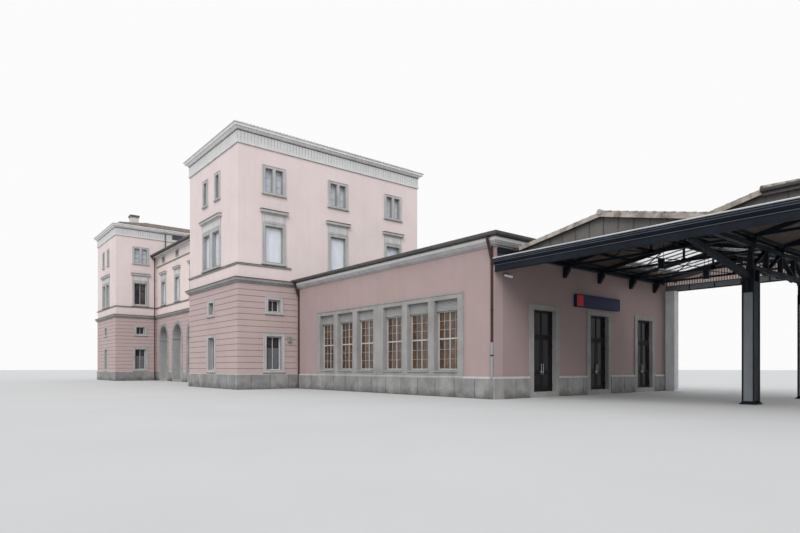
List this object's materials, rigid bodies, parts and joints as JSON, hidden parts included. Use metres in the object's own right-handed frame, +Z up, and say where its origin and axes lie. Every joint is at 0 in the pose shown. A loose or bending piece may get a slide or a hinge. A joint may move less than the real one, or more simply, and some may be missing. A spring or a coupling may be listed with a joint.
{
  "type": "railway station building, 1:2 scale model",
  "caption": "Half-size railway station: corner towers, a recessed arcade, a low annex with hinged doors and a steel canopy.",
  "frame": {"origin": "middle of the centre block's plan, on the level of the ground", "axes": "+X along the front from left to right, -Y the way the front looks, +Z up"},
  "size_m": [36.025, 9.8, 9.15],
  "materials": {
    "upper_wall": "painted render, pale pink",
    "annex_wall": "painted render, dusty pink",
    "trim_stone": "fine grey sandstone",
    "frieze_board": "painted boards, pale grey",
    "cornice_metal": "grey sheet over stone",
    "roof_cover": "weathered tiles",
    "chimney_masonry": "painted render",
    "floor_slab": "plain floors",
    "white_joinery": "painted white",
    "window_glass": "clear",
    "rooflight_glass": "milky",
    "shutter_metal": "painted grey",
    "brown_metal": "painted brown",
    "canopy_steel": "painted dark navy",
    "panel_metal": "grey standing seam sheet",
    "door_metal": "painted dark brown",
    "sign_panel": "painted navy and red"
  },
  "bodies": {
    "body": {"tower_front_walls": "upper_wall", "tower_back_walls": "upper_wall", "tower_inner_walls": "upper_wall", "right_tower_side_wall": "upper_wall", "left_tower_side_wall": "upper_wall", "centre_walls": "upper_wall", "annex_front_wall": "annex_wall", "annex_back_wall": "annex_wall", "annex_side_wall": "annex_wall", "end_wall_piers": "annex_wall", "end_wall_over_doors": "annex_wall", "main_window_stones": "trim_stone", "arch_stones": "trim_stone", "annex_band_stones": "trim_stone", "door_jamb_stones": "trim_stone", "door_sills_and_lintels": "trim_stone", "lower_cornice": "trim_stone", "string_courses": "trim_stone", "main_plinth": "trim_stone", "annex_plinth": "trim_stone", "canopy_pillar": "trim_stone", "tower_friezes": "frieze_board", "annex_cornice": "frieze_board", "tower_cornices": "cornice_metal", "tower_roofs": "roof_cover", "centre_roof": "roof_cover", "annex_roof": "roof_cover", "canopy_roof": "roof_cover", "chimney": "chimney_masonry", "tower_floors": "floor_slab", "centre_floors": "floor_slab", "annex_floor": "floor_slab", "main_window_frames": "white_joinery", "arch_screens": "white_joinery", "annex_window_frames": "white_joinery", "main_window_panes": "window_glass", "annex_window_panes": "window_glass", "canopy_rooflights": "rooflight_glass", "shutter_boxes": "shutter_metal", "centre_gutters": "brown_metal", "annex_gutter": "brown_metal", "downpipes": "brown_metal", "canopy_trusses": "canopy_steel", "canopy_girders": "canopy_steel", "canopy_columns": "canopy_steel", "canopy_struts": "canopy_steel", "canopy_edge_beams": "canopy_steel", "canopy_gutter": "canopy_steel", "wall_brackets": "canopy_steel", "canopy_end_panels": "panel_metal", "door_frame_posts": "door_metal", "door_top_lights": "door_metal", "sign_box": "sign_panel"},
    "door_1_near_leaf": {"door_1_near_leaf": "door_metal"},
    "door_1_far_leaf": {"door_1_far_leaf": "door_metal"},
    "door_2_near_leaf": {"door_2_near_leaf": "door_metal"},
    "door_2_far_leaf": {"door_2_far_leaf": "door_metal"},
    "door_3_near_leaf": {"door_3_near_leaf": "door_metal"},
    "door_3_far_leaf": {"door_3_far_leaf": "door_metal"}
  },
  "joints": [
    {"name": "door_1_near_hinge", "type": "hinge", "parent": "body", "child": "door_1_near_leaf", "pos_m": [18.065, -1.272, 0.12], "axis": [0, 0, -1], "range_deg": [0, 90]},
    {"name": "door_1_far_hinge", "type": "hinge", "parent": "body", "child": "door_1_far_leaf", "pos_m": [18.065, -0.528, 0.12], "axis": [0, 0, 1], "range_deg": [0, 90]},
    {"name": "door_2_near_hinge", "type": "hinge", "parent": "body", "child": "door_2_near_leaf", "pos_m": [18.065, 0.938, 0.12], "axis": [0, 0, -1], "range_deg": [0, 90]},
    {"name": "door_2_far_hinge", "type": "hinge", "parent": "body", "child": "door_2_far_leaf", "pos_m": [18.065, 1.682, 0.12], "axis": [0, 0, 1], "range_deg": [0, 90]},
    {"name": "door_3_near_hinge", "type": "hinge", "parent": "body", "child": "door_3_near_leaf", "pos_m": [18.065, 3.173, 0.12], "axis": [0, 0, -1], "range_deg": [0, 90]},
    {"name": "door_3_far_hinge", "type": "hinge", "parent": "body", "child": "door_3_far_leaf", "pos_m": [18.065, 3.917, 0.12], "axis": [0, 0, 1], "range_deg": [0, 90]}
  ]
}
